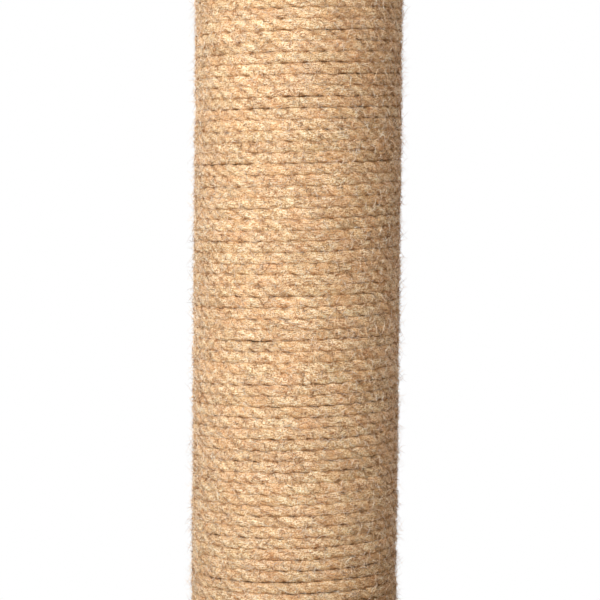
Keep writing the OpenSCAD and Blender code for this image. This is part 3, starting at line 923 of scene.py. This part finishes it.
def clothMaterial(name, pitch, turned=0.0):
    # a plain weave in the cushion's own place, seen right from above and from the sides
    k = cushionMake
    material, f = newMaterial(name, {
        "Specular IOR Level": 0.2, "Sheen Weight": 0.25, "Sheen Roughness": 0.6,
        "Sheen Tint": sRgb(*k["sheen"])})
    where = place(f)
    grain = f.node("Mapping", {}, {"Vector": where, "Rotation": (0, 0, math.radians(turned))})
    axis = {a: part(f, grain, a) for a in "XYZ"}
    facing = {a: abs(part(f, f.node("NewGeometry", out="Normal"), a)) ** 4.0 for a in "XYZ"}
    total = facing["X"] + facing["Y"] + facing["Z"]
    height, over = 0.0, 0.0
    for u, v, across in (("X", "Y", "Z"), ("X", "Z", "Y"), ("Y", "Z", "X")):
        a, b = axis[u] * (math.pi / pitch), axis[v] * (math.pi / pitch)
        warp, weft = a.reckon("SINE", a), b.reckon("SINE", b)
        warpOver = warp * weft > 0.0
        weave = abs(warp) * warpOver + abs(weft) * (1 - warpOver)
        share = facing[across] / total
        height = weave * share + height
        over = warpOver * share + over
    lengthwise, crosswise = [noise(f, where, *slub) for slub in k["slubs"]]
    slub = lengthwise * 0.5 + crosswise * 0.5
    fade = noise(f, where, *k["fading"])
    colour = blend(f, slub * 0.9 + over * 0.22 - 0.1, sRgb(*k["cloth"]), sRgb(*k["clothDark"]))
    # the low points of the weave take painted shade
    colour = blend(f, (1 - height) * 0.35, colour, sRgb(*k["between"]))
    colour = blend(f, fade * 0.25, colour, sRgb(*k["faded"]))
    feed(f, baseColor=colour, roughness=0.82 + slub * 0.12,
         normal=bump(f, height * 0.7 + slub * 0.6, k["relief"]))
    return material


def blowUp(piece, held):
    # cloth with air pressure inside, held where `held` is 1, then kept as plain corners
    k = cushionMake
    group = piece.vertex_groups.new(name="held")
    for index, weight in enumerate(held):
        group.add([index], float(weight), "REPLACE")
    start = corners(piece)
    cloth = piece.modifiers.new("cloth", "CLOTH")
    for key, value in clothSettings.items():
        setattr(cloth.settings, key, value)
    cloth.settings.effector_weights.gravity = 0
    cloth.collision_settings.use_collision = False
    scene = bpy.context.scene
    for step in range(1, k["steps"] + 1):
        scene.frame_set(step)
    blown = piece.evaluated_get(bpy.context.evaluated_depsgraph_get())
    ends = np.array([v.co for v in blown.data.vertices])
    piece.modifiers.remove(cloth)
    scene.frame_set(1)
    shift = ends - start
    far = np.linalg.norm(shift, axis=1, keepdims=True)
    putCorners(piece, start + shift * np.minimum(1, k["cap"] / np.maximum(far, 1e-9)))


def drawInSeam(pad, low, high, seam):
    # the seam is drawn in, and the cloth puckers beside it
    k = cushionMake
    middle = (low + high) / 2
    at = corners(pad)
    out = at[:, :2] - np.array([middle.x, middle.y])
    off = np.abs(at[:, 2] - seam)
    near = soften(np.clip(1 - off / k["pinchReach"], 0, 1))
    run = np.arctan2(out[:, 1] / (high.y - low.y), out[:, 0] / (high.x - low.x)) * k["puckerTurns"]
    pucker = 0.5 + 0.5 * np.sin(run * 3.1 + 1.4 * np.sin(run * 0.7))
    beside = np.clip(1 - np.abs(off - k["puckerFrom"]) / k["puckerReach"], 0, 1) * (near < 0.9)
    reach = np.linalg.norm(out, axis=1, keepdims=True)
    at[:, :2] -= out / reach * (near * k["seamPinch"] + beside * pucker * k["pucker"])[:, None]
    at[:, 2] = np.maximum(at[:, 2], low.z)
    at[:, 2] = np.minimum(at[:, 2], high.z + k["crownOver"])
    putCorners(pad, at)


def sewPiping(pad, low, high, seam):
    # a round cord in cloth that follows the drawn-in seam right round
    k = cushionMake
    middle = (low + high) / 2
    bpy.context.view_layer.update()
    tree = BVHTree.FromObject(pad, bpy.context.evaluated_depsgraph_get())
    ring = []
    halfWide, halfDeep = (high.x - low.x) / 2, (high.y - low.y) / 2
    for q in np.linspace(0, 2 * math.pi, k["pipingSteps"], endpoint=False):
        toward = Vector((math.cos(q) * halfWide, math.sin(q) * halfDeep, 0)).normalized()
        outside = Vector((middle.x, middle.y, seam)) + toward * k["lookFrom"]
        hit = tree.ray_cast(outside, -toward)[0]
        ring.append(hit + toward * (k["piping"] * k["pipingOut"]))
    curve = bpy.data.curves.new("cushion_piping", "CURVE")
    curve.dimensions = "3D"
    line = curve.splines.new("POLY")
    line.points.add(len(ring) - 1)
    for point, at in zip(line.points, ring):
        point.co = (*at, 1)
    line.use_cyclic_u = True
    curve.bevel_depth = k["piping"]
    curve.bevel_resolution = 3
    takeUp(addObject("cushion_piping", curve))
    bpy.ops.object.convert(target="MESH")
    piping = bpy.context.object
    bpy.ops.object.shade_smooth()
    dress(piping, clothMaterial("piping_weave", k["pipingWeave"], 45))
    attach(piping, "cushion")


def padCushion():
    k = cushionMake
    low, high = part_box("perch_cushion")
    seam = low.z + k["seamHeight"]
    pad = workingCopy("perch_cushion", "piped_cushion")
    small = corners(pad)
    up = np.clip((small[:, 2] - seam) / (high.z - seam), 0, 1)
    small[:, 2] -= up * k["flatter"]
    putCorners(pad, small)
    applyModifier(pad, "REMESH", mode="VOXEL", voxel_size=k["voxel"], use_smooth_shade=True)
    at = corners(pad)
    held = np.clip(1 - np.abs(at[:, 2] - seam) / k["seamHold"], 0, 1)
    blowUp(pad, np.maximum(held, (at[:, 2] < low.z + k["baseHold"]) * 1.0))
    applyModifier(pad, "SUBSURF", levels=1, render_levels=1)
    drawInSeam(pad, low, high, seam)
    dress(pad, clothMaterial("oat_weave", k["weave"]))
    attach(pad, "cushion")
    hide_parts("perch_cushion")
    sewPiping(pad, low, high, seam)
    print("cushion: blown up, sewn and piped")


padCushion()


# ---- felt mat on the step

matMake = {
    "voxel": 0.0026,
    "wool": ((420, 160, 420), 4, 0.65),
    "cross": ((160, 460, 420), 4, 0.65, (3, 7, 1)),
    "mottle": ((60, 60, 60), 3, 0.55, (8, 2, 2)),
    "felt": [(0.36, (118, 110, 100)), (0.5, (150, 142, 130)), (0.66, (186, 179, 168))],
    "sheen": (236, 230, 220), "relief": 0.0009,
    "seed": 71,
    "waves": 10, "waveHeight": 0.00055,
    "waveTurns": (25, 90),              # of the waves in its face, in radians to a metre
    "edgeWobble": 0.00018,
    "wobbleTurns": ((310, 90), (290, 70)),
    "notchPlay": 0.003,                 # between the notch and the rope
    "frontCorner": 0.046, "wallCorner": 0.008,
    "cornerLoss": 0.43,                 # what a pair of round corners takes off, of their radius squared
}


def feltMaterial():
    material, f = newMaterial("grey_wool_felt", {
        "Specular IOR Level": 0.15, "Sheen Weight": 0.35, "Sheen Roughness": 0.7,
        "Sheen Tint": sRgb(*matMake["sheen"])})
    wool, cross, mottle = [noise(f, place(f), *matMake[name]) for name in ("wool", "cross", "mottle")]
    mixed = wool * 0.5 + cross * 0.5
    feed(f, baseColor=ramp(f, mixed * 0.75 + mottle * 0.25, matMake["felt"]),
         roughness=0.86 + mixed * 0.1, normal=bump(f, mixed, matMake["relief"]))
    return material


def cutFromMat(high):
    # what is cut off the flat mat: its notch, a slot with a round end, and its corners
    m = matMake
    notch = ropeOut + m["notchPlay"]
    slot = 2 * notch * (high.y - postAxis.y) + math.pi * notch * notch / 2
    return slot + m["cornerLoss"] * (m["frontCorner"] ** 2 + m["wallCorner"] ** 2)


def layMat():
    m = matMake
    low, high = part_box("step_mat")
    mat = workingCopy("step_mat", "felt_mat")
    applyModifier(mat, "REMESH", mode="VOXEL", voxel_size=m["voxel"], use_smooth_shade=True)
    applyModifier(mat, "SMOOTH", factor=0.5, iterations=3)
    at = corners(mat)
    dice = np.random.default_rng(m["seed"])
    shape = (m["waves"], 2)
    waves = dice.uniform(*m["waveTurns"], shape) * dice.choice([-1, 1], shape)
    lift = sum(np.sin(at[:, 0] * a + at[:, 1] * b + i) for i, (a, b) in enumerate(waves)) / m["waves"]
    top = np.clip((at[:, 2] - low.z) / (high.z - low.z), 0, 1)
    at[:, 2] += lift * m["waveHeight"] * top
    for axis, (fast, slow) in enumerate(m["wobbleTurns"]):
        along = at[:, 1 - axis]
        at[:, axis] += np.sin(along * fast + 2 * np.sin(along * slow)) * m["edgeWobble"]
    putCorners(mat, at)
    dress(mat, feltMaterial())
    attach(mat, "mat")
    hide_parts("step_mat")
    wide, deep = high.x - low.x, high.y - low.y
    cut = cutFromMat(high)
    wide * deep - cut
    print("mat: felt laid on its tape")


layMat()


# ---- hook and loop tape

tapeMake = {
    "hook": {"light": (214, 210, 200), "dark": (132, 128, 120), "roughness": 0.75, "sheen": 0.0},
    "loop": {"light": (240, 238, 232), "dark": (186, 182, 174), "roughness": 0.95, "sheen": 0.4},
    "hooksPerMetre": 900,
    "pile": ((1500, 1500, 900), 4, 0.7),
    "relief": 0.0006,
}


def tapeMaterial(kind):
    k = tapeMake[kind]
    material, f = newMaterial(kind + "_side", {
        "Roughness": k["roughness"], "Specular IOR Level": 0.2, "Sheen Weight": k["sheen"]})
    if kind == "hook":
        rows = f.node("Mapping", {}, {"Vector": place(f), "Scale": (tapeMake["hooksPerMetre"],) * 3})
        share = f.node("TexVoronoi", {}, {"Vector": rows, "Scale": 1.0, "Randomness": 0.25}, "Distance")
        height = 1 - share
    else:
        share = noise(f, place(f), *tapeMake["pile"])
        height = share
    # on the hook side the darker colour between the hooks is painted shade; on the loop side it is the
    # pile's own tone
    feed(f, baseColor=blend(f, share, sRgb(*k["light"]), sRgb(*k["dark"])),
         normal=bump(f, height, tapeMake["relief"]))
    return material


def finishTape():
    hooks, loops = tapeMaterial("hook"), tapeMaterial("loop")
    for node in ("perch_hook_tape", "step_hook_tape"):
        dress(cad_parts[node], hooks)
    for node in ("cushion_loop_tape", "mat_loop_tape"):
        dress(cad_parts[node], loops)
    print("tape: hook and loop sides finished")


finishTape()
